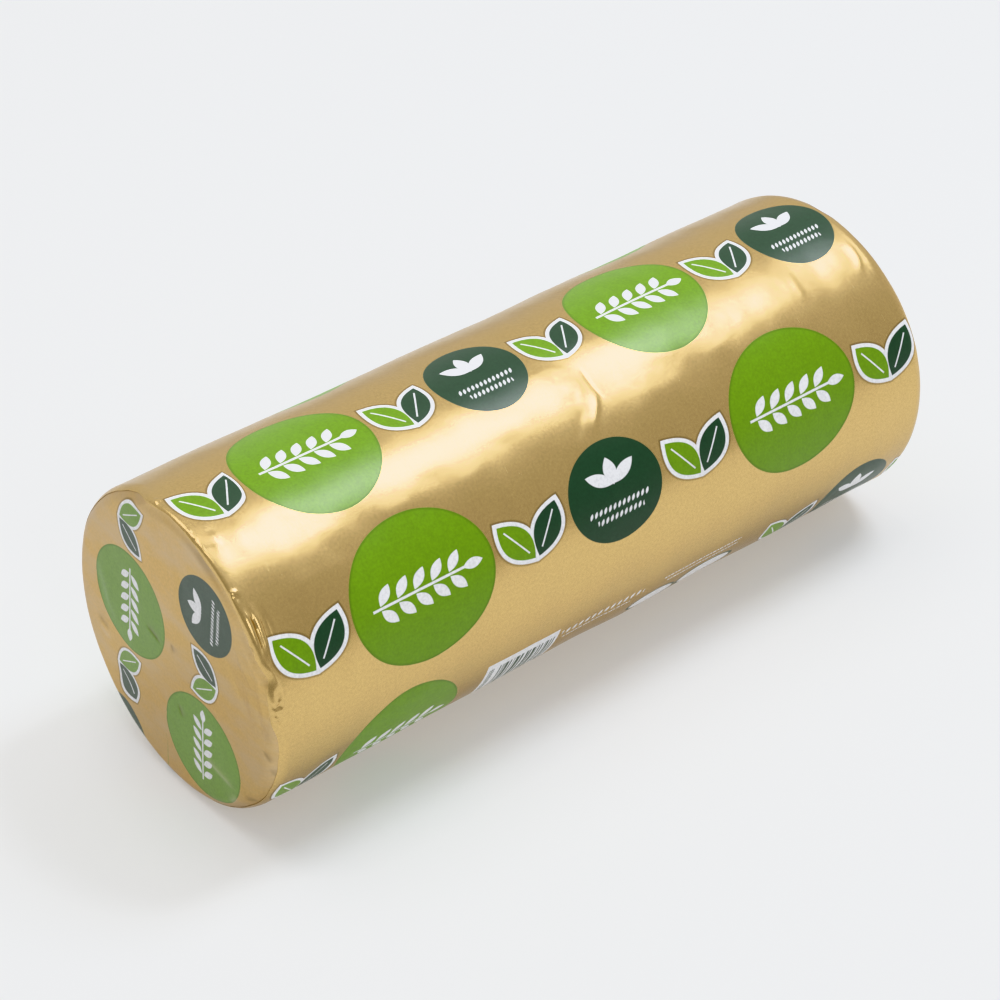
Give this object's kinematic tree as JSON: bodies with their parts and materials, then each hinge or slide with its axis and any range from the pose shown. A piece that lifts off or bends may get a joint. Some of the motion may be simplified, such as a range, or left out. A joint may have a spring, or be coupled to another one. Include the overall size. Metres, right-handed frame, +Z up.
{
  "type": "butter roll",
  "caption": "Roll of butter wrapped in gold foil with printed green discs, lying on its side on a narrow flat strip.",
  "frame": {"origin": "on the resting surface, under the middle of the roll", "axes": "+X along the roll's length, -Y towards its better side, +Z up"},
  "size_m": [0.2098, 0.0806, 0.0807],
  "materials": {
    "wrap_foil": "satin gold lacquered foil, printed with light and dark green discs",
    "end_foil": "matte gold lacquered foil, printed with light and dark green discs"
  },
  "bodies": {
    "root": {"foil_roll": "wrap_foil", "end_disc_front": "end_foil", "end_disc_back": "end_foil"}
  },
  "joints": []
}
